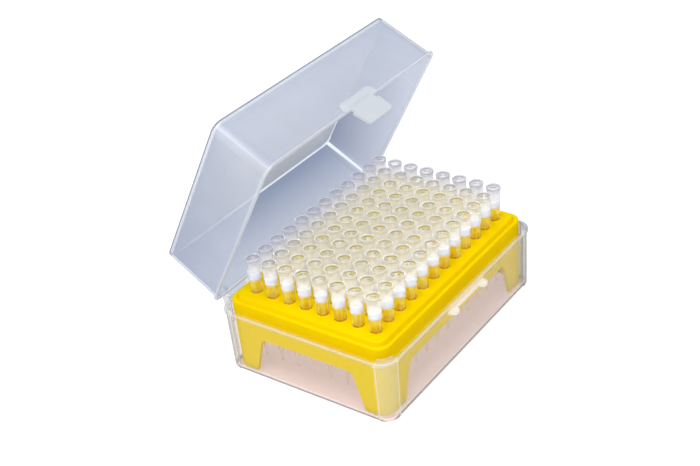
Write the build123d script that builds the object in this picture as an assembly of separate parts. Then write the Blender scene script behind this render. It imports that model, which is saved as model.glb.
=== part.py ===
from build123d import *
import math
import os

# Box of 96 pipette tips: clear tub, hinged lid with a front latch, coloured rack,
# tips in 12 columns of 8, and a filter plug in each tip.
# Millimetres. Origin: centre of the underside of the tub. X runs along the 12 columns,
# the latch is at -Y and the hinge at +Y. The lid is modelled standing open.

# Tub
RIM_LENGTH = 126.0
RIM_WIDTH = 90.5
RIM_OVERHANG = 1.1
RIM_THICKNESS = 1.5
RIM_HEIGHT = 31.1
RIM_EDGE = 0.45
TUB_WALL = 1.2
TUB_FLOOR = 1.2
TUB_DRAFT = 0.5
TUB_CORNER = 7.4
TUB_EDGE = 1.6
BAND_SPAN_X = 7.4
BAND_SPAN_Y = 6.2
BAND_RAISE = 0.45
LUG_HEIGHT = 0.9
LUG_WALL = 0.9
LUG_ROOT = 6.0

# Catch ledge on the front of the tub
LEDGE_DROP = 1.9
LEDGE_THICKNESS = 1.3
LEDGE_REACH = 0.6
LOBE_REACH = 3.1
LOBE_INNER = 9.7
LOBE_WIDTH = 4.9
LEDGE_RIB = 0.9
LEDGE_RIB_DEPTH = 3.0

# Lid
LID_HEIGHT = 30.1
LID_WALL = 1.0
LID_DRAFT = 1.0
LID_CORNER = 5.8
LID_OVERHANG = 1.1
LID_FLANGE = 1.1
LID_FLANGE_EDGE = 0.44
LID_EDGE = 0.8
LID_GAP = 0.3
LID_OPEN = 61.0
LID_STOP = 110.0

# Latch tab, part of the lid
TAB_ABOVE = 4.2
TAB_BELOW = 11.7
TAB_THICKNESS = 1.0
TAB_FLARE = 6.0
TAB_TOP_WIDTH = 23.4
TAB_SHOULDER_WIDTH = 18.8
TAB_FOOT_WIDTH = 17.4
TAB_WAIST_WIDTH = 16.0
TAB_WAIST_HIGH = 1.1
TAB_WAIST_LOW = 3.0
TAB_TOP_CORNER = 3.2
TAB_FOOT_CORNER = 1.5
TAB_CLEARANCE = 0.1
TAB_BEAD = 0.4
TAB_BEAD_DEPTH = 5.4
TAB_BEAD_HEIGHT = 2.0
TAB_WEB_WIDTH = 14.0

# Hinges: a pin between two ears on the tub, held by an open clip on the lid
HINGE_SETBACK = 2.25
HINGE_DROP = 0.5
HINGE_CENTRE = 45.5
CLIP_LENGTH = 11.0
CLIP_RADIUS = 1.95
CLIP_MOUTH = 1.75
CLIP_MOUTH_ANGLE = 50.0
CLIP_ARM_HEIGHT = 4.8
CLIP_ARM_ANGLE = 53.0
EAR_THICKNESS = 2.5
EAR_RADIUS = 1.6
EAR_FOOT = 0.8
EAR_DROP = 4.4
EAR_ROOT_DROP = 8.4
EAR_GAP = 0.3
PIN_RADIUS = 1.0
PIN_CLEARANCE = 0.06
TAIL_THICKNESS = 1.2
STOP_GAP = 0.3
STOP_SLANT = 45.0

# Tips and their grid
PITCH = 9.0
COLUMNS = 12
ROWS = 8
TIP_HEAD = 16.8
TIP_TAIL = 35.0
TIP_RIM_RADIUS = 3.4
TIP_RIM_HEIGHT = 0.9
TIP_RIM_BEVEL = 0.3
TIP_HEAD_RADIUS = 3.2
TIP_SEAT_RADIUS = 2.7
TIP_NECK_RADIUS = 2.4
TIP_NECK_LENGTH = 6.0
TIP_NECK_TAPER = 0.1
TIP_END_RADIUS = 0.45
TIP_WALL = 0.45
TIP_END_BORE = 0.22
TIP_MOUTH_BORE = 2.9
TIP_BORE_STEP = 0.4
FILTER_LOW = 6.7
FILTER_LENGTH = 3.0
FILTER_CLEARANCE = 0.02

# Rack
DECK_HEIGHT = 37.8
DECK_THICKNESS = 1.5
DECK_STEP = 1.8
STEP_INSET = 1.6
PLATEAU_SLOPE = 1.2
PLATEAU_EDGE = 1.0
RACK_PLAY_X = 1.1
RACK_PLAY_Y = 1.8
RACK_WALL = 1.5
RACK_DRAFT = 0.4
RACK_CORNER = 6.0
PLATEAU_CORNER = 5.5
POCKET_CORNER = 3.0
RACK_EDGE = 0.5
WINDOW_TOP = 19.8
WINDOW_CORNER = 3.5
LEG_TOP_LONG = 18.5
LEG_FOOT_LONG = 13.5
LEG_TOP_SHORT = 16.8
LEG_FOOT_SHORT = 11.2
HOLE_CLEARANCE = 0.05
CUT_MARGIN = 1.0

# Sizes worked out from the ones above
WALL_LENGTH = RIM_LENGTH - 2 * RIM_OVERHANG
WALL_WIDTH = RIM_WIDTH - 2 * RIM_OVERHANG
INNER_LENGTH = WALL_LENGTH - 2 * TUB_WALL
INNER_WIDTH = WALL_WIDTH - 2 * TUB_WALL
LID_BASE = RIM_HEIGHT + LID_GAP
LID_IN_LENGTH = WALL_LENGTH - 2 * LID_WALL
LID_IN_WIDTH = WALL_WIDTH - 2 * LID_WALL
HINGE_Y = RIM_WIDTH / 2 + HINGE_SETBACK
HINGE_Z = RIM_HEIGHT - HINGE_DROP
LEDGE_TOP = RIM_HEIGHT - LEDGE_DROP
LEDGE_FRONT = RIM_WIDTH / 2 + LEDGE_REACH
LEDGE_ROOT = -(WALL_WIDTH / 2 - TUB_WALL / 2)
TAB_INNER = LEDGE_FRONT + TAB_CLEARANCE
RACK_LENGTH = INNER_LENGTH - 2 * RACK_PLAY_X
RACK_WIDTH = INNER_WIDTH - 2 * RACK_PLAY_Y
RIDGE_HEIGHT = DECK_HEIGHT - DECK_STEP
HOLE_RADIUS = TIP_NECK_RADIUS + HOLE_CLEARANCE


def drafted_block(low, high, corner, z_low, z_high):
    """A rounded box whose plan goes from size low to size high over its height."""
    corner_high = corner + (high[0] - low[0]) / 2
    bottom = Plane.XY.offset(z_low) * RectangleRounded(low[0], low[1], corner)
    top = Plane.XY.offset(z_high) * RectangleRounded(high[0], high[1], corner_high)
    return loft([bottom, top], ruled=True)


def rounded_slab(length, width, corner, z_low, z_high):
    plan = Plane.XY.offset(z_low) * RectangleRounded(length, width, corner)
    return extrude(plan, z_high - z_low)


def corner_boxes(z_low, z_high):
    """Four boxes that hold the tub's corner bands and nothing else."""
    x_size = 2 * BAND_SPAN_X
    y_size = 2 * BAND_SPAN_Y
    x = WALL_LENGTH / 2
    y = WALL_WIDTH / 2
    box = Box(x_size, y_size, z_high - z_low, align=(Align.CENTER, Align.CENTER, Align.MIN))
    spots = [(sx * x, sy * y, z_low) for sx in (-1, 1) for sy in (-1, 1)]
    return Part() + [Pos(*spot) * box for spot in spots]


def box_between(x_low, x_high, y_low, y_high, z_low, z_high):
    size = (x_high - x_low, y_high - y_low, z_high - z_low)
    return Pos(x_low, y_low, z_low) * Box(*size, align=(Align.MIN, Align.MIN, Align.MIN))


def side_profile(points, x_low, x_high):
    """A prism along X from an outline given as (y, z) points."""
    plane = Plane((x_low, 0, 0), x_dir=(0, 1, 0), z_dir=(1, 0, 0))
    return extrude(plane * make_face(Polyline(*points, close=True)), x_high - x_low)


def rod(y, z, radius, x_low, x_high):
    cylinder = Cylinder(radius, x_high - x_low, align=(Align.CENTER, Align.CENTER, Align.MIN))
    return Pos(x_low, y, z) * Rot(0, 90, 0) * cylinder


def lowest_edges(solid):
    return solid.faces().sort_by(Axis.Z)[0].edges()


def highest_edges(solid):
    return solid.faces().sort_by(Axis.Z)[-1].edges()


def tub_shell():
    top = (WALL_LENGTH, WALL_WIDTH)
    bottom = (WALL_LENGTH - 2 * TUB_DRAFT, WALL_WIDTH - 2 * TUB_DRAFT)
    corner = TUB_CORNER - TUB_DRAFT
    walls = drafted_block(bottom, top, corner, 0, RIM_HEIGHT)
    walls = fillet(lowest_edges(walls), TUB_EDGE)

    grow = 2 * BAND_RAISE
    band_low = (bottom[0] + grow, bottom[1] + grow)
    band_high = (top[0] + grow, top[1] + grow)
    bands = drafted_block(band_low, band_high, corner + BAND_RAISE, 0, RIM_HEIGHT)
    bands = fillet(lowest_edges(bands), TUB_EDGE)
    bands = bands & corner_boxes(0, RIM_HEIGHT)

    rim_corner = TUB_CORNER + RIM_OVERHANG
    rim = rounded_slab(RIM_LENGTH, RIM_WIDTH, rim_corner, RIM_HEIGHT - RIM_THICKNESS, RIM_HEIGHT)
    rim = fillet(highest_edges(rim) + lowest_edges(rim), RIM_EDGE)

    shrink = 2 * TUB_WALL
    hollow_low = (bottom[0] - shrink, bottom[1] - shrink)
    hollow_high = (top[0] - shrink, top[1] - shrink)
    hollow = drafted_block(hollow_low, hollow_high, corner - TUB_WALL, TUB_FLOOR, RIM_HEIGHT)
    return walls + bands + rim - hollow


def corner_lugs():
    """Short upstands inside the four rim corners that guide the lid."""
    gap = LID_GAP
    outer = (LID_IN_LENGTH - 2 * gap, LID_IN_WIDTH - 2 * gap)
    outer_corner = TUB_CORNER - LID_WALL - gap
    inner = (outer[0] - 2 * LUG_WALL, outer[1] - 2 * LUG_WALL)
    root = RIM_HEIGHT - LUG_ROOT
    top = RIM_HEIGHT + LUG_HEIGHT
    grow = TUB_WALL - LID_WALL + gap
    upper = rounded_slab(outer[0], outer[1], outer_corner, RIM_HEIGHT - RIM_THICKNESS, top)
    lower_size = (outer[0] + grow, outer[1] + grow)
    lower = rounded_slab(lower_size[0], lower_size[1], outer_corner + grow / 2, root, RIM_HEIGHT)
    core = rounded_slab(inner[0], inner[1], outer_corner - LUG_WALL, root, top)
    ring = upper + lower - core
    return ring & corner_boxes(root, top)


def catch_ledge():
    """Shelf under the front rim, with a rounded lobe and a small rib at each end."""
    z_low = LEDGE_TOP - LEDGE_THICKNESS
    radius = LOBE_WIDTH / 2
    y_nose = -(RIM_WIDTH / 2 + LOBE_REACH - radius)
    half = LOBE_INNER + radius
    plan = Pos(0, (LEDGE_ROOT - LEDGE_FRONT) / 2) * Rectangle(2 * half, LEDGE_FRONT + LEDGE_ROOT)
    for x in (-half, half):
        stem = Pos(x, (LEDGE_ROOT + y_nose) / 2) * Rectangle(LOBE_WIDTH, LEDGE_ROOT - y_nose)
        plan = plan + stem + Pos(x, y_nose) * Circle(radius)
    ledge = extrude(Plane.XY.offset(z_low) * plan, LEDGE_THICKNESS)
    rib = [(LEDGE_ROOT, z_low), (-LEDGE_FRONT, z_low), (LEDGE_ROOT, z_low - LEDGE_RIB_DEPTH)]
    for x in (-half, half):
        ledge = ledge + side_profile(rib, x - LEDGE_RIB / 2, x + LEDGE_RIB / 2)
    return ledge


def hinge_ear(x_low, x_high):
    """One ear: a round end about the hinge axis and a gusset to the back wall."""
    wall_y = WALL_WIDTH / 2 - TUB_WALL / 2
    under_rim = RIM_HEIGHT - RIM_THICKNESS / 2
    gusset = [
        (wall_y, under_rim),
        (HINGE_Y, HINGE_Z),
        (HINGE_Y + EAR_RADIUS, HINGE_Z),
        (HINGE_Y + EAR_FOOT, HINGE_Z - EAR_DROP),
        (wall_y, HINGE_Z - EAR_ROOT_DROP),
    ]
    return side_profile(gusset, x_low, x_high) + rod(HINGE_Y, HINGE_Z, EAR_RADIUS, x_low, x_high)


def tub_hinges():
    hinges = Part()
    half_clip = CLIP_LENGTH / 2 + EAR_GAP
    for centre in (-HINGE_CENTRE, HINGE_CENTRE):
        left = hinge_ear(centre - half_clip - EAR_THICKNESS, centre - half_clip)
        right = hinge_ear(centre + half_clip, centre + half_clip + EAR_THICKNESS)
        pin_half = half_clip + EAR_THICKNESS / 2
        pin = rod(HINGE_Y, HINGE_Z, PIN_RADIUS, centre - pin_half, centre + pin_half)
        hinges = hinges + left + right + pin
    return hinges


def tub():
    return tub_shell() + corner_lugs() + catch_ledge() + tub_hinges()


def lid_shell():
    rim = (WALL_LENGTH, WALL_WIDTH)
    crown = (rim[0] - 2 * LID_DRAFT, rim[1] - 2 * LID_DRAFT)
    z_top = LID_BASE + LID_HEIGHT
    outside = drafted_block(rim, crown, LID_CORNER, LID_BASE, z_top)
    outside = fillet(highest_edges(outside), LID_EDGE)
    z_flange = LID_BASE + LID_FLANGE
    grow = 2 * LID_OVERHANG
    flange_corner = LID_CORNER + LID_OVERHANG
    flange = rounded_slab(rim[0] + grow, rim[1] + grow, flange_corner, LID_BASE, z_flange)
    flange = fillet(highest_edges(flange), LID_FLANGE_EDGE)
    inner_low = (rim[0] - 2 * LID_WALL, rim[1] - 2 * LID_WALL)
    inner_high = (crown[0] - 2 * LID_WALL, crown[1] - 2 * LID_WALL)
    hollow = drafted_block(inner_low, inner_high, LID_CORNER - LID_WALL, LID_BASE, z_top - LID_WALL)
    return outside + flange - hollow


def latch_tab():
    """Flared plate in front of the lid, joined to its flange by a short web."""
    half_top = TAB_TOP_WIDTH / 2
    half_shoulder = TAB_SHOULDER_WIDTH / 2
    half_foot = TAB_FOOT_WIDTH / 2
    half_waist = TAB_WAIST_WIDTH / 2
    right_side = [
        (half_top, TAB_ABOVE),
        (half_top, -TAB_WAIST_HIGH),
        (half_waist, -TAB_WAIST_HIGH),
        (half_waist, -TAB_WAIST_LOW),
        (half_shoulder, -TAB_WAIST_LOW),
        (half_foot, -TAB_BELOW),
    ]
    outline = right_side + [(-x, z) for x, z in reversed(right_side)]
    face = make_face(Polyline(*outline, close=True))
    face = fillet(face.vertices().group_by(Axis.Y)[-1], TAB_TOP_CORNER)
    face = fillet(face.vertices().group_by(Axis.Y)[0], TAB_FOOT_CORNER)
    flare = math.radians(TAB_FLARE)
    outward = (0, -math.cos(flare), math.sin(flare))
    plane = Plane((0, -TAB_INNER, LID_BASE), x_dir=(1, 0, 0), z_dir=outward)
    plate = extrude(plane * face, TAB_THICKNESS)

    web_half = TAB_WEB_WIDTH / 2
    y_root = -(WALL_WIDTH / 2 - LID_WALL / 2)
    y_web = -(TAB_INNER + TAB_THICKNESS / 2)
    web = box_between(-web_half, web_half, y_web, y_root, LID_BASE, LID_BASE + LID_FLANGE)
    high = (0, TAB_BEAD_DEPTH - TAB_BEAD_HEIGHT / 2)
    tip = (-TAB_BEAD, TAB_BEAD_DEPTH)
    low = (0, TAB_BEAD_DEPTH + TAB_BEAD_HEIGHT / 2)
    side = Plane((-web_half, -TAB_INNER, LID_BASE), x_dir=outward, z_dir=(1, 0, 0))
    bead = extrude(side * make_face(Polyline(high, tip, low, close=True)), TAB_WEB_WIDTH)
    return plate + web + bead


def hinge_clip(centre):
    """Open ring round the pin, with an arm to the lid and a tail that stops the swing."""
    x_low = centre - CLIP_LENGTH / 2
    x_high = centre + CLIP_LENGTH / 2
    wall_y = WALL_WIDTH / 2 - LID_WALL / 2
    turn = math.radians(CLIP_ARM_ANGLE)
    arm = [
        (wall_y, LID_BASE),
        (HINGE_Y, LID_BASE),
        (HINGE_Y + CLIP_RADIUS * math.cos(turn), HINGE_Z + CLIP_RADIUS * math.sin(turn)),
        (wall_y, LID_BASE + CLIP_ARM_HEIGHT),
    ]
    slant = math.radians(STOP_SLANT)
    wall_gap = HINGE_Y - WALL_WIDTH / 2 - STOP_GAP
    reach = (wall_gap - math.sin(slant) * TAIL_THICKNESS / 2) / math.cos(slant)
    outward = (Align.CENTER, Align.MIN, Align.CENTER)
    tail = Box(CLIP_LENGTH, reach, TAIL_THICKNESS, align=outward)
    mouth = Box(CLIP_LENGTH, 2 * CLIP_RADIUS, CLIP_MOUTH, align=outward)
    here = Pos(centre, HINGE_Y, HINGE_Z)
    clip = side_profile(arm, x_low, x_high) + rod(HINGE_Y, HINGE_Z, CLIP_RADIUS, x_low, x_high)
    clip = clip + here * Rot(LID_STOP - 180 + STOP_SLANT, 0, 0) * tail
    bore = rod(HINGE_Y, HINGE_Z, PIN_RADIUS + PIN_CLEARANCE, x_low, x_high)
    return clip - bore - here * Rot(CLIP_MOUTH_ANGLE, 0, 0) * mouth


def lid():
    closed = lid_shell() + latch_tab() + hinge_clip(-HINGE_CENTRE) + hinge_clip(HINGE_CENTRE)
    hinge_axis = Axis((0, HINGE_Y, HINGE_Z), (-1, 0, 0))
    return closed.rotate(hinge_axis, LID_OPEN)


def window(span_top, span_foot, across_x):
    """Prism that cuts one tapering window through two opposite skirts."""
    z_foot = TUB_FLOOR - CUT_MARGIN
    outline = [
        (-span_top / 2, WINDOW_TOP),
        (span_top / 2, WINDOW_TOP),
        (span_foot / 2, z_foot),
        (-span_foot / 2, z_foot),
    ]
    depth = RIM_LENGTH
    if across_x:
        plane = Plane((-depth / 2, 0, 0), x_dir=(0, 1, 0), z_dir=(1, 0, 0))
    else:
        plane = Plane((0, depth / 2, 0), x_dir=(1, 0, 0), z_dir=(0, -1, 0))
    prism = extrude(plane * make_face(Polyline(*outline, close=True)), depth)
    along = Axis.X if across_x else Axis.Y
    top_edges = prism.edges().filter_by(along).group_by(Axis.Z)[-1]
    return fillet(top_edges, WINDOW_CORNER)


def tip_spots():
    """Hole centres, one list per column."""
    x0 = -(COLUMNS - 1) / 2 * PITCH
    y0 = -(ROWS - 1) / 2 * PITCH
    return [[(x0 + i * PITCH, y0 + j * PITCH) for j in range(ROWS)] for i in range(COLUMNS)]


def rack():
    ridge = (RACK_LENGTH, RACK_WIDTH)
    foot = (ridge[0] - 2 * RACK_DRAFT, ridge[1] - 2 * RACK_DRAFT)
    corner = RACK_CORNER - RACK_DRAFT
    skirt = drafted_block(foot, ridge, corner, TUB_FLOOR, RIDGE_HEIGHT)
    skirt = fillet(highest_edges(skirt), RACK_EDGE)
    deck_low = (ridge[0] - 2 * STEP_INSET, ridge[1] - 2 * STEP_INSET)
    deck_high = (deck_low[0] - 2 * PLATEAU_SLOPE, deck_low[1] - 2 * PLATEAU_SLOPE)
    plateau = drafted_block(deck_low, deck_high, PLATEAU_CORNER, RIDGE_HEIGHT, DECK_HEIGHT)
    plateau = fillet(highest_edges(plateau), PLATEAU_EDGE)

    shrink = 2 * RACK_WALL
    hollow_foot = (foot[0] - shrink, foot[1] - shrink)
    hollow_top = (ridge[0] - shrink, ridge[1] - shrink)
    z_skirt = RIDGE_HEIGHT - DECK_THICKNESS
    hollow = drafted_block(hollow_foot, hollow_top, corner - RACK_WALL, TUB_FLOOR, z_skirt)
    pocket = (deck_high[0] - shrink, deck_high[1] - shrink)
    z_pocket = DECK_HEIGHT - DECK_THICKNESS
    hollow = hollow + rounded_slab(pocket[0], pocket[1], POCKET_CORNER, z_skirt, z_pocket)

    long_window = window(foot[0] - 2 * LEG_TOP_LONG, foot[0] - 2 * LEG_FOOT_LONG, False)
    short_window = window(foot[1] - 2 * LEG_TOP_SHORT, foot[1] - 2 * LEG_FOOT_SHORT, True)
    body = skirt + plateau - hollow - long_window - short_window
    drill = Cylinder(HOLE_RADIUS, 2 * (DECK_THICKNESS + CUT_MARGIN))
    holes = [Pos(x, y, DECK_HEIGHT) * drill for column in tip_spots() for x, y in column]
    return body - holes


def tip():
    """One tip, seated with its shoulder on the deck at z = 0."""
    slope = (TIP_HEAD_RADIUS - TIP_SEAT_RADIUS) / TIP_HEAD
    filter_top = FILTER_LOW + FILTER_LENGTH
    bore_top = TIP_SEAT_RADIUS + slope * filter_top - TIP_WALL
    bore_low = TIP_SEAT_RADIUS + slope * FILTER_LOW - TIP_WALL
    neck_bore = TIP_NECK_RADIUS - TIP_WALL
    z_rim = TIP_HEAD - TIP_RIM_HEIGHT
    outline = [
        (TIP_MOUTH_BORE, TIP_HEAD),
        (TIP_RIM_RADIUS, TIP_HEAD),
        (TIP_RIM_RADIUS, z_rim),
        (TIP_SEAT_RADIUS + slope * z_rim, z_rim - TIP_RIM_BEVEL),
        (TIP_SEAT_RADIUS, 0),
        (TIP_NECK_RADIUS, 0),
        (TIP_NECK_RADIUS - TIP_NECK_TAPER, -TIP_NECK_LENGTH),
        (TIP_END_RADIUS, -TIP_TAIL),
        (TIP_END_BORE, -TIP_TAIL),
        (neck_bore - TIP_NECK_TAPER, -TIP_NECK_LENGTH),
        (neck_bore, 0),
        (neck_bore, FILTER_LOW - TIP_BORE_STEP),
        (bore_low, FILTER_LOW),
        (bore_top, filter_top),
    ]
    profile = Plane.XZ * make_face(Polyline(*outline, close=True))
    return revolve(profile, Axis.Z)


def filter_plug():
    """Porous plug in the head of a tip, in the same frame as the tip."""
    slope = (TIP_HEAD_RADIUS - TIP_SEAT_RADIUS) / TIP_HEAD
    low = TIP_SEAT_RADIUS + slope * FILTER_LOW - TIP_WALL - FILTER_CLEARANCE
    high = low + slope * FILTER_LENGTH
    cone = Cone(low, high, FILTER_LENGTH, align=(Align.CENTER, Align.CENTER, Align.MIN))
    return Pos(0, 0, FILTER_LOW) * cone


def column_of(piece, spots):
    return Compound([Pos(x, y, DECK_HEIGHT) * piece for x, y in spots])


def main():
    os.makedirs("parts", exist_ok=True)
    export_step(tub(), "parts/tub.step")
    export_step(lid(), "parts/lid.step")
    export_step(rack(), "parts/rack.step")
    one_tip = tip().solid()
    one_filter = filter_plug().solid()
    for number, spots in enumerate(tip_spots(), start=1):
        export_step(column_of(one_tip, spots), f"parts/tips_column_{number:02d}.step")
        export_step(column_of(one_filter, spots), f"parts/filters_column_{number:02d}.step")


main()
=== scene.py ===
import math

import bpy
from mathutils import Matrix, Vector

# A hinged clear box of 96 filter tips in a yellow rack, lid open, on a plain pale floor.
# The CAD meshes are shown as they are: this script gives them their plastics, and adds the
# floor, the light and the camera. Every length is in metres, in the frame of the model.

# The camera: lens and sensor width in millimetres, place, and direction in degrees
LENS = 63.24
SENSOR_WIDTH = 36.0
CAMERA_PLACE = (-0.3768, -0.2796, 0.3364)
CAMERA_AZIMUTH = -51.93
CAMERA_ELEVATION = 31.41
CAMERA_ROLL = -6.08

# The lamp above the box, in metres and watts
KEY_PLACE = (-0.16, -0.06, 0.62)
KEY_TARGET = (0.0, 0.0, 0.04)
KEY_SIZE = 0.4
KEY_POWER = 2.4

# The lid's hinge, and how far the lid stands open, in degrees
HINGE_Y = 0.0475
HINGE_Z = 0.0306
LID_OPEN = 61.0

# The walls of the tub and of the lid, where they meet: half their length and half their width
WALL_X = 0.0619
WALL_Y = 0.04415

# The tub: its rim's half length, half width, corner radius and height, and the wall below it
RIM_X = 0.063
RIM_Y = 0.04525
RIM_CORNER = 0.0085
RIM_TOP = 0.0311
TUB_CORNER = 0.0074
TUB_DRAFT = 0.0005

# Where the raised bands round the tub's corners start
BAND_X = 0.0545
BAND_Y = 0.0379

# Half the length of the catch ledge under the front rim
LEDGE_HALF = 0.01460

# The lid as it is when shut: foot of its wall, inner and outer face of its top,
# how much the wall leans in for each metre of height, and its corner radius
LID_FOOT = 0.0314
LID_CEILING = 0.0605
LID_TOP = 0.0615
LID_LEAN = 0.0332
LID_CORNER = 0.0058

# The tips: the grid they stand on, 12 by 8, centred on the origin, the deck's top,
# the plugs' lower end, the radius of the mouth and the top of a tip
PITCH = 0.009
COLUMNS = 12
ROWS = 8
DECK_TOP = 0.0378
PLUG_LOW = 0.0445
MOUTH_RADIUS = 0.0030
TIP_TOP = 0.0546

FLOOR_HALF = 3.0
FLOOR_DROP = 0.0002

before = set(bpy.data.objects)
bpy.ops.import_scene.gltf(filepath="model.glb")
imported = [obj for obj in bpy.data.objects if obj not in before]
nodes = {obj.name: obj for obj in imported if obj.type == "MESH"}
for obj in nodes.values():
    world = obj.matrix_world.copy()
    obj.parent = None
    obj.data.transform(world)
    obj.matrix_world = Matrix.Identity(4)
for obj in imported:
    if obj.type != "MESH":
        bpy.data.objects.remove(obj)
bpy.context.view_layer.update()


class Tree:
    """Short ways to build the nodes of a material or a world."""

    def __init__(self, owner):
        owner.use_nodes = True
        self.owner = owner
        self.tree = owner.node_tree
        self.tree.nodes.clear()

    def put(self, node, key, value):
        """Set an input, given by name or number, to a value or to another node's output."""
        if isinstance(value, bpy.types.NodeSocket):
            self.tree.links.new(value, node.inputs[key])
        else:
            node.inputs[key].default_value = value

    def add(self, kind, **inputs):
        node = self.tree.nodes.new(kind)
        for key, value in inputs.items():
            self.put(node, key.replace("_", " "), value)
        return node

    def shader(self, kind, **inputs):
        return self.add("ShaderNodeBsdf" + kind, **inputs).outputs[0]

    def math(self, operation, first, *others):
        """The first value, combined with each of the others in turn."""
        result = first
        for other in others or (None,):
            node = self.tree.nodes.new("ShaderNodeMath")
            node.operation = operation
            self.put(node, 0, result)
            if other is not None:
                self.put(node, 1, other)
            result = node.outputs[0]
        return result

    def plus(self, *values):
        return self.math("ADD", *values)

    def minus(self, a, b):
        return self.math("SUBTRACT", a, b)

    def times(self, *values):
        return self.math("MULTIPLY", *values)

    def most(self, *values):
        return self.math("MAXIMUM", *values)

    def least(self, *values):
        return self.math("MINIMUM", *values)

    def size(self, value):
        return self.math("ABSOLUTE", value)

    def hypotenuse(self, a, b):
        return self.math("SQRT", self.plus(self.times(a, a), self.times(b, b)))

    def ramp(self, source, low, high, to_low=0.0, to_high=1.0):
        """A straight ramp from to_low at low to to_high at high, level beyond both."""
        node = self.tree.nodes.new("ShaderNodeMapRange")
        for key, value in (("From Min", low), ("From Max", high), ("To Min", to_low), ("To Max", to_high)):
            node.inputs[key].default_value = value
        self.put(node, "Value", source)
        return node.outputs[0]

    def blend_value(self, share, a, b):
        node = self.tree.nodes.new("ShaderNodeMix")
        for key, value in ((0, share), (2, a), (3, b)):
            self.put(node, key, value)
        return node.outputs[0]

    def blend_colour(self, share, a, b):
        node = self.tree.nodes.new("ShaderNodeMix")
        node.data_type = "RGBA"
        for key, value in ((0, share), (6, a), (7, b)):
            self.put(node, key, value)
        return node.outputs[2]

    def blend_shader(self, share, a, b):
        node = self.tree.nodes.new("ShaderNodeMixShader")
        for key, value in enumerate((share, a, b)):
            self.put(node, key, value)
        return node.outputs[0]

    def where(self):
        """A point's place on the object, as one vector."""
        return self.add("ShaderNodeTexCoord").outputs["Object"]

    def split(self, vector):
        parts = self.add("ShaderNodeSeparateXYZ", Vector=vector).outputs
        return parts["X"], parts["Y"], parts["Z"]

    def noise(self, scale, detail=3.0, where=None):
        node = self.add("ShaderNodeTexNoise", Scale=scale, Detail=detail, Vector=where or self.where())
        return node.outputs["Fac"]

    def bump(self, height, strength, distance):
        node = self.add("ShaderNodeBump", Strength=strength, Distance=distance, Height=height)
        return node.outputs["Normal"]

    def finish(self, shader, kind="Material"):
        self.put(self.tree.nodes.new("ShaderNodeOutput" + kind), "Surface", shader)
        return self.owner


def new_material(name):
    return Tree(bpy.data.materials.new(name))


def rgb(r, g, b):
    """Linear colour of an sRGB one given in 0 to 255."""
    def linear(v):
        v = v / 255
        return v / 12.92 if v <= 0.04045 else ((v + 0.055) / 1.055) ** 2.4
    return (linear(r), linear(g), linear(b), 1.0)


def edge_on(t, power):
    """0 where a wall is seen square on, 1 where it is seen edge on."""
    facing = t.add("ShaderNodeLayerWeight", Blend=0.5).outputs["Facing"]
    return t.math("POWER", facing, power)


def milk(t, colour, back_share, **normal):
    """Milky plastic, lit from the front and, by back_share, from behind."""
    front = t.shader("Diffuse", Color=colour, **normal)
    back = t.shader("Translucent", Color=colour)
    return t.blend_shader(back_share, front, back)


def film(t, tint, haze, haze_colour, back_share, gloss, roughness, normal):
    """A clear wall's surface: sight goes straight on, dimmed by milky haze, under a thin gloss."""
    through = t.shader("Transparent", Color=tint)
    body = t.blend_shader(haze, through, milk(t, haze_colour, back_share, Normal=normal))
    shine = t.shader("Glossy", Roughness=roughness, Normal=normal)
    mirror = t.plus(t.times(edge_on(t, 5.0), 0.35), gloss)
    return t.blend_shader(mirror, body, shine)


def with_lamps_through(t, shader, lamp_tint):
    """Lets lamps shine straight through the surface, with a faint tint."""
    shadow = t.add("ShaderNodeLightPath").outputs["Is Shadow Ray"]
    return t.blend_shader(shadow, shader, t.shader("Transparent", Color=lamp_tint))


def rounded_outline(t, x, y, half_x, half_y, corner):
    """How far a point lies outside a rounded rectangle, and how far round one of its corners it is."""
    qx = t.minus(t.size(x), t.minus(half_x, corner))
    qy = t.minus(t.size(y), t.minus(half_y, corner))
    beyond_x = t.most(qx, 0.0)
    beyond_y = t.most(qy, 0.0)
    inside = t.least(t.most(qx, qy), 0.0)
    outside = t.minus(t.plus(t.hypotenuse(beyond_x, beyond_y), inside), corner)
    return outside, t.least(beyond_x, beyond_y)


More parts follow.
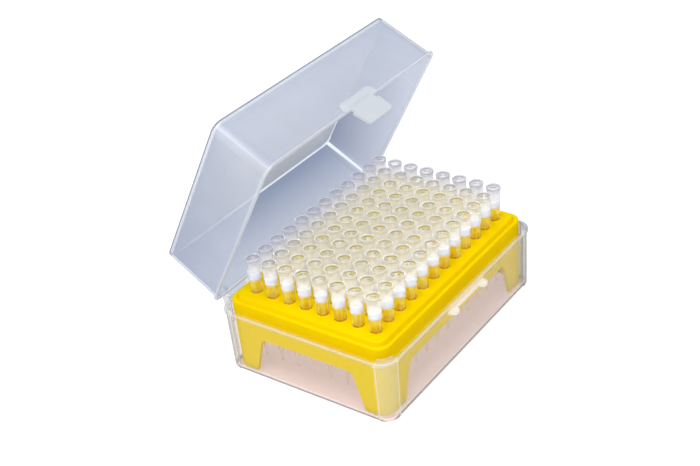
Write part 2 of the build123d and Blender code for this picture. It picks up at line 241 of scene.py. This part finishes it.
def tub_plastic():
    t = new_material("clear_box")
    place_x, place_y, height = t.split(t.where())
    x, y = t.size(place_x), t.size(place_y)

    # The rim's top and the outer lip: painted highlights, given extra white haze where they catch the
    # light
    outside, _ = rounded_outline(t, x, y, RIM_X, RIM_Y, RIM_CORNER)
    lip = t.times(t.ramp(height, RIM_TOP - 0.0008, RIM_TOP - 0.0004), t.ramp(outside, -0.0012, -0.0009))
    rim_highlight = t.most(t.times(lip, 1.4), t.ramp(height, RIM_TOP - 0.0008, RIM_TOP - 0.0004, 0.0, 0.15))

    # The wall, its bottom edge, and the floor inside it
    wall = t.most(t.ramp(x, 0.0592, 0.0602), t.ramp(y, 0.0415, 0.0425))
    foot = t.times(t.ramp(height, 0.0012, 0.0004), wall)
    base = t.times(t.ramp(height, 0.0022, 0.0018), t.minus(1.0, wall))

    # The raised bands round the corners, and painted highlight lines along their edges, on the outer face
    # only
    round_x = t.ramp(x, BAND_X, BAND_X + 0.0003)
    round_y = t.ramp(y, BAND_Y, BAND_Y + 0.0003)
    band = t.times(round_x, round_y)
    line_x = t.times(t.ramp(t.size(t.minus(x, BAND_X)), 0.0009, 0.0006), round_y)
    line_y = t.times(t.ramp(t.size(t.minus(y, BAND_Y)), 0.0009, 0.0006), round_x)
    draft = t.ramp(height, 0.0, RIM_TOP, TUB_DRAFT, 0.0)
    face, _ = rounded_outline(t, x, y, t.minus(WALL_X, draft), t.minus(WALL_Y, draft), TUB_CORNER)
    highlight_lines = t.times(t.most(line_x, line_y), t.ramp(face, -0.0008, -0.0005))

    # The catch ledge in front, and the hinge ears behind
    shelf = t.times(t.ramp(place_y, -0.0440, -0.0444), t.ramp(x, LEDGE_HALF + 0.0002, LEDGE_HALF))
    behind = t.ramp(place_y, 0.0453, 0.0457)

    # Posts at the far end, and less so at the back, are greyer: painted shade
    shaded_back_posts = t.times(t.ramp(x, 0.050, 0.058, 0.0, 0.4), t.ramp(place_y, 0.030, 0.036))
    shaded_far_end = t.most(t.ramp(place_x, 0.050, 0.058), shaded_back_posts)

    # The rim and the band lines get extra white haze as painted highlights, and the catch ledge gets more
    # haze
    edge = t.most(rim_highlight, t.times(shelf, 1.5), highlight_lines)
    clear = t.least(t.plus(t.ramp(t.noise(60.0), 0.3, 0.7, 0.002, 0.006), edge_on(t, 4.0)), 0.35)
    haze = t.plus(clear, t.times(edge, 0.32), t.times(band, 0.2), t.times(base, 0.25), t.times(foot, 0.25))
    dark = t.most(edge_on(t, 5.0), foot)

    tint = t.blend_colour(band, rgb(253, 251, 250), rgb(249, 249, 250))
    rim_tint = t.blend_colour(band, rgb(243, 244, 246), rgb(228, 230, 233))
    tint = t.blend_colour(rim_highlight, tint, rim_tint)
    tint = t.blend_colour(behind, tint, rgb(232, 234, 238))
    # Painted shade: the bands at the far end are tinted greyer
    tint = t.blend_colour(t.times(shaded_far_end, band), tint, rgb(224, 225, 227))
    tint = t.blend_colour(dark, tint, rgb(104, 104, 109))

    # Painted shade: the haze is greyer at the far end and the back posts
    colour = t.blend_colour(shaded_far_end, rgb(246, 244, 243), rgb(190, 190, 193))
    colour = t.blend_colour(dark, colour, rgb(150, 151, 155))
    # The floor inside is tinted pink: painted warm light thrown into the tub by the yellow rack
    colour = t.blend_colour(base, colour, rgb(228, 200, 192))

    ripple = t.bump(t.noise(900.0, 2.0), 0.04, 0.0002)
    body = film(t, tint, haze, colour, 0.5, 0.012, 0.18, ripple)
    return t.finish(with_lamps_through(t, body, (0.99, 0.985, 0.98, 1)))


def lid_plastic():
    t = new_material("clear_cover")
    _, _, open_height = t.split(t.where())

    # The point's place with the lid turned shut
    shut = t.add("ShaderNodeVectorRotate", Vector=t.where())
    shut.rotation_type = "X_AXIS"
    t.put(shut, "Center", (0, HINGE_Y, HINGE_Z))
    t.put(shut, "Angle", math.radians(LID_OPEN))
    x, y, z = t.split(shut.outputs[0])

    lean = t.times(t.minus(z, LID_FOOT), LID_LEAN)
    half_x, half_y = t.minus(WALL_X, lean), t.minus(WALL_Y, lean)
    outside, corner = rounded_outline(t, x, y, half_x, half_y, LID_CORNER)
    inner = t.times(t.ramp(outside, -0.0004, -0.0006), t.ramp(z, LID_TOP - 0.0004, LID_TOP - 0.0006))
    crown = t.ramp(z, LID_CEILING - 0.0003, LID_CEILING - 0.0001)
    end_wall = t.ramp(t.minus(t.size(x), half_x), -0.0030, -0.0015)
    tab = t.ramp(y, -0.0452, -0.0456)

    # How far inside the lid a point of its lining is, for the painted shade that darkens the lining deeper
    # in
    depth = t.plus(t.ramp(z, 0.034, 0.060, 0.0, 0.8), t.ramp(y, -0.044, 0.044, -0.2, 0.3))
    depth = t.plus(depth, t.ramp(y, -0.034, -0.040, 0.0, -0.3))
    deep_shade = t.blend_value(crown, t.most(depth, 0.0), t.ramp(y, -0.044, 0.044, 0.0, 0.8))

    # Painted highlight lines along the corners, the rim, and the fold between the walls and the top
    inner_line = t.times(t.ramp(corner, 0.0029, 0.0031), inner, t.ramp(y, -0.01, 0.0, 0.15, 1.2))
    outer_line = t.times(t.ramp(corner, 0.0038, 0.0040, 0.0, 0.3), t.ramp(y, 0.0, -0.01))
    rim_highlight = t.ramp(z, LID_FOOT + 0.0008, LID_FOOT + 0.0004, 0.0, 0.55)
    fold = t.ramp(z, LID_CEILING - 0.0007, LID_CEILING - 0.0005, 0.0, 1.3)
    back_fold = t.ramp(z, LID_CEILING - 0.0009, LID_CEILING - 0.0007, 0.0, 1.6)
    back_fold = t.times(back_fold, t.ramp(y, 0.036, 0.038))
    fold_line = t.times(t.most(fold, back_fold), t.ramp(outside, -0.0016, -0.0014), inner)
    edge = t.most(rim_highlight, inner_line, outer_line, fold_line, tab)

    steep = edge_on(t, 4.0)
    brink = t.times(t.ramp(z, LID_CEILING - 0.0002, LID_TOP - 0.0006), t.ramp(outside, -0.0010, -0.0005))
    dark = t.most(steep, brink)

    skin = t.ramp(t.noise(22.0), 0.3, 0.7, 0.33, 0.45)
    lining = t.plus(t.times(deep_shade, 0.30), 0.50)
    haze = t.plus(t.blend_value(inner, skin, lining), t.times(steep, 0.2), t.times(edge, 0.3))
    haze = t.least(haze, 0.9)

    # Outer faces: the end walls are painted lighter than the long sides, and all are painted darker
    # towards the lid's lower end as it stands open: painted light and shade
    low = t.ramp(open_height, 0.11, 0.04)
    long_side = t.blend_colour(low, rgb(205, 209, 217), rgb(176, 184, 196))
    end_side = t.blend_colour(low, rgb(252, 253, 255), rgb(236, 241, 252))
    outer_colour = t.blend_colour(end_wall, long_side, end_side)
    # The lining is painted darker than the outer face, darker near the end walls and darker deep inside:
    # painted shade; the ceiling's inner face is painted darker deep inside too
    near_end = t.ramp(t.size(x), 0.054, 0.057)
    shallow_colour = t.blend_colour(near_end, rgb(184, 188, 197), rgb(153, 161, 177))
    lining_colour = t.blend_colour(deep_shade, shallow_colour, rgb(116, 130, 156))
    ceiling_colour = t.blend_colour(deep_shade, rgb(246, 248, 252), rgb(206, 213, 225))
    inner_colour = t.blend_colour(crown, lining_colour, ceiling_colour)
    colour = t.blend_colour(inner, outer_colour, inner_colour)
    # The painted highlight lines are near white
    colour = t.blend_colour(edge, colour, rgb(246, 249, 253))
    colour = t.blend_colour(tab, colour, rgb(206, 210, 213))
    colour = t.blend_colour(dark, colour, rgb(150, 154, 166))
    tint = t.blend_colour(dark, rgb(246, 248, 253), rgb(140, 143, 152))

    ripple = t.bump(t.noise(400.0, 1.0), 0.01, 0.0002)
    body = film(t, tint, haze, colour, 0.35, 0.012, 0.3, ripple)
    return t.finish(with_lamps_through(t, body, (0.93, 0.94, 0.96, 1)))


def from_tip_axis(t, x, y):
    """Distance from the axis of the nearest tip."""
    def off_centre(along, count):
        steps = t.math("DIVIDE", t.plus(along, count / 2 * PITCH), PITCH)
        return t.minus(t.math("FRACT", steps), 0.5)
    return t.times(t.hypotenuse(off_centre(x, COLUMNS), off_centre(y, ROWS)), PITCH)


def band_of_height(t, height, low, high, soft):
    """1 between two heights, fading to 0 just inside them."""
    return t.times(t.ramp(height, low, low + soft), t.ramp(height, high, high - soft))


def tip_plastic():
    t = new_material("clear_tips")
    x, y, height = t.split(t.where())
    specks = t.noise(1100.0, 1.0)

    # Zones: hanging below the deck, just above the deck, and the head from the plug up.
    # The wall stays as white as the plug to a little above it, where the plug's top shows through.
    hanging = t.ramp(height, DECK_TOP - 0.0003, DECK_TOP - 0.0013)
    under_plug = t.ramp(height, PLUG_LOW + 0.0001, PLUG_LOW - 0.0005)
    above_deck = t.times(t.ramp(height, DECK_TOP - 0.0013, DECK_TOP - 0.0003), under_plug)
    head = t.ramp(height, PLUG_LOW - 0.0009, PLUG_LOW + 0.0001)
    above_plug = t.ramp(height, 0.0485, 0.0491)
    over_plug = t.times(above_plug, t.ramp(height, 0.0525, 0.0500))

    # Cream inside the block of tips, a painted glow of yellow light from the rack; lavender along its far
    # column and back row
    rack_lit_block = t.times(t.ramp(x, 0.0480, 0.0360), t.ramp(y, 0.0300, 0.0180))

    # In the mouth, a line under the lip and a speckled one on the step below it
    bore = t.ramp(from_tip_axis(t, x, y), MOUTH_RADIUS + 0.00005, MOUTH_RADIUS - 0.00002)
    lip = band_of_height(t, height, TIP_TOP - 0.0011, TIP_TOP - 0.0003, 0.0002)
    step = band_of_height(t, height, TIP_TOP - 0.0023, TIP_TOP - 0.0015, 0.0002)
    line = t.times(t.most(lip, t.times(step, t.ramp(specks, 0.44, 0.49))), bore)

    # The inner tips get extra milky haze, so they read lighter: painted light
    inner_x = t.ramp(t.size(x), 0.0470, 0.0430)
    inner_y = t.ramp(t.size(y), 0.0290, 0.0250, 0.0, 0.13)
    head_haze = t.plus(t.ramp(bore, 0.0, 1.0, 0.44, 0.24), t.times(inner_x, inner_y))
    head_haze = t.times(head, t.blend_value(above_plug, 0.50, head_haze))
    hanging_haze = t.times(hanging, t.ramp(height, 0.016, 0.032, 0.02, 0.36))
    haze = t.plus(head_haze, t.times(above_deck, 0.38), hanging_haze, t.times(line, 0.85))

    tint = t.blend_colour(rack_lit_block, rgb(244, 244, 248), rgb(252, 252, 251))
    # Yellow above the deck: painted light from the yellow deck seen through the wall
    tint = t.blend_colour(above_deck, tint, rgb(255, 253, 160))
    # The hanging tails are tinted warm near the deck: painted yellow light from the rack
    warm = t.blend_colour(t.ramp(height, 0.012, 0.030), rgb(254, 251, 249), rgb(255, 232, 186))
    tint = t.blend_colour(hanging, tint, warm)

    head_colour = t.blend_colour(rack_lit_block, rgb(234, 234, 240), rgb(255, 252, 246))
    head_colour = t.blend_colour(over_plug, head_colour, rgb(236, 232, 220))
    head_colour = t.blend_colour(above_plug, rgb(244, 246, 254), head_colour)
    # Below the plug the haze runs to amber near the deck: painted yellow light from the rack
    low_colour = t.blend_colour(t.ramp(height, 0.015, 0.030), rgb(244, 226, 216), rgb(244, 196, 96))
    colour = t.blend_colour(head, low_colour, head_colour)

    # Upright yellow streaks above the deck, painted light from the yellow deck seen through the wall, with
    # brown marks where the tip enters its hole, painted shade of the hole
    stretched = t.add("ShaderNodeMapping", Vector=t.where(), Scale=(1.0, 1.0, 0.05))
    streak = t.ramp(t.noise(800.0, 1.0, stretched.outputs[0]), 0.42, 0.58)
    amber = t.blend_colour(streak, rgb(252, 216, 34), rgb(255, 250, 150))
    hole_mark = t.times(t.ramp(height, DECK_TOP + 0.0010, DECK_TOP + 0.0004), t.ramp(specks, 0.46, 0.52))
    amber = t.blend_colour(hole_mark, amber, rgb(170, 105, 0))
    colour = t.blend_colour(above_deck, colour, amber)
    # The mouth lines are olive inside the block, painted yellow light from the rack, and grey-lavender
    # outside it
    mouth_line_colour = t.blend_colour(rack_lit_block, rgb(160, 162, 174), rgb(168, 158, 30))
    colour = t.blend_colour(line, colour, mouth_line_colour)

    glass = t.shader(
        "Principled",
        Base_Color=tint,
        Roughness=t.ramp(t.noise(300.0), 0.3, 0.7, 0.07, 0.12),
        IOR=1.40,
        Transmission_Weight=1.0,
        Normal=t.bump(t.noise(900.0, 2.0), 0.04, 0.0002),
    )
    body = t.blend_shader(haze, glass, milk(t, colour, 0.5))
    return t.finish(with_lamps_through(t, body, (0.99, 0.99, 0.985, 1)))


def rack_plastic():
    t = new_material("yellow_moulding")
    cloud = t.noise(45.0)
    colour = t.blend_colour(t.ramp(cloud, 0.35, 0.65), rgb(247, 217, 0), rgb(243, 211, 0))

    # Upright faces are painted a deeper yellow as shade, warmer above the tub's rim
    _, _, height = t.split(t.where())
    _, _, up = t.split(t.add("ShaderNodeNewGeometry").outputs["Normal"])
    shaded_upright_colour = t.blend_colour(t.ramp(height, 0.0280, 0.0295), rgb(246, 222, 6), rgb(245, 206, 0))
    colour = t.blend_colour(t.ramp(up, 0.95, 0.60), colour, shaded_upright_colour)

    grain = t.bump(t.noise(2500.0, 2.0), 0.10, 0.0001)
    body = milk(t, colour, 0.15, Normal=grain)
    shine = t.shader(
        "Glossy",
        Color=(1.0, 0.82, 0.03, 1),
        Roughness=t.ramp(cloud, 0.3, 0.7, 0.30, 0.38),
        Normal=grain,
    )
    mirror = t.plus(t.times(edge_on(t, 4.0), 0.5), 0.05)
    return t.finish(t.blend_shader(mirror, body, shine))


def filter_fibre():
    t = new_material("porous_white")
    grain = t.noise(4000.0, 4.0)
    colour = t.blend_colour(t.ramp(grain, 0.35, 0.65), rgb(247, 248, 253), rgb(251, 252, 255))
    body = t.shader(
        "Principled",
        Base_Color=colour,
        Roughness=t.ramp(grain, 0.3, 0.7, 0.75, 0.95),
        Specular_IOR_Level=0.2,
        Normal=t.bump(grain, 0.2, 0.0001),
    )
    return t.finish(t.blend_shader(0.15, body, t.shader("Translucent", Color=colour)))


def dress():
    """Give every CAD node its plastic."""
    plastics = {
        "tub": tub_plastic(),
        "lid": lid_plastic(),
        "rack": rack_plastic(),
        "tips": tip_plastic(),
        "filters": filter_fibre(),
    }
    for name, node in nodes.items():
        material = plastics[name.split("_")[0]]
        if not node.data.materials:
            node.data.materials.append(material)
        for slot in node.material_slots:
            slot.material = material


def floor_sheet():
    """A wide sheet of pale paper, lit through from below so that it stays white."""
    mesh = bpy.data.meshes.new("floor")
    low, high = -FLOOR_HALF, FLOOR_HALF
    mesh.from_pydata([(low, low, 0), (high, low, 0), (high, high, 0), (low, high, 0)], [], [(0, 1, 2, 3)])
    floor = bpy.data.objects.new("floor", mesh)
    floor.location.z = -FLOOR_DROP
    bpy.context.scene.collection.objects.link(floor)
    t = new_material("pale_paper")
    paper = t.shader(
        "Principled",
        Base_Color=t.blend_colour(t.noise(8.0), (0.45, 0.45, 0.455, 1), (0.48, 0.48, 0.485, 1)),
        Roughness=0.9,
        Emission_Color=(1.0, 1.0, 1.0, 1),
        Emission_Strength=0.65,
    )
    mesh.materials.append(t.finish(paper))


def key_lamp():
    light = bpy.data.lights.new("key", "AREA")
    light.size = KEY_SIZE
    light.energy = KEY_POWER
    item = bpy.data.objects.new("key", light)
    item.location = KEY_PLACE
    aim = Vector(KEY_TARGET) - Vector(KEY_PLACE)
    item.rotation_euler = aim.to_track_quat("-Z", "Y").to_euler()
    bpy.context.scene.collection.objects.link(item)


def sky():
    """Soft light from all round: greyer low down, and brighter from the back left than the front right."""
    world = bpy.data.worlds.new("studio")
    bpy.context.scene.world = world
    t = Tree(world)
    direction = t.add("ShaderNodeTexCoord").outputs["Generated"]
    x, y, up = t.split(direction)
    across = t.plus(t.times(x, 0.8), t.times(y, -0.6))
    light = t.add(
        "ShaderNodeBackground",
        Color=t.blend_colour(t.ramp(up, 0.0, 0.8), (0.45, 0.47, 0.51, 1), (1.0, 1.0, 1.0, 1)),
        Strength=t.ramp(across, -0.6, 0.7, 1.10, 0.62),
    )
    t.finish(light.outputs[0], "World")


def render_settings():
    scene = bpy.context.scene
    scene.view_settings.view_transform = "Standard"
    scene.cycles.max_bounces = 32
    scene.cycles.transmission_bounces = 32
    scene.cycles.transparent_max_bounces = 32
    scene.cycles.diffuse_bounces = 4
    scene.cycles.glossy_bounces = 6


def camera():
    azimuth, elevation, roll = map(math.radians, (CAMERA_AZIMUTH, CAMERA_ELEVATION, CAMERA_ROLL))
    back = Vector((
        math.sin(azimuth) * math.cos(elevation),
        -math.cos(azimuth) * math.cos(elevation),
        math.sin(elevation),
    ))
    level = Vector((math.cos(azimuth), math.sin(azimuth), 0))
    upright = back.cross(level)
    right = math.cos(roll) * level + math.sin(roll) * upright
    up = math.cos(roll) * upright - math.sin(roll) * level
    data = bpy.data.cameras.new("camera")
    data.lens = LENS
    data.sensor_width = SENSOR_WIDTH
    data.clip_start = 0.01
    item = bpy.data.objects.new("camera", data)
    turn = Matrix((right, up, back)).transposed().to_4x4()
    item.matrix_world = Matrix.Translation(CAMERA_PLACE) @ turn
    bpy.context.scene.collection.objects.link(item)
    bpy.context.scene.camera = item


dress()
floor_sheet()
sky()
key_lamp()
render_settings()
camera()
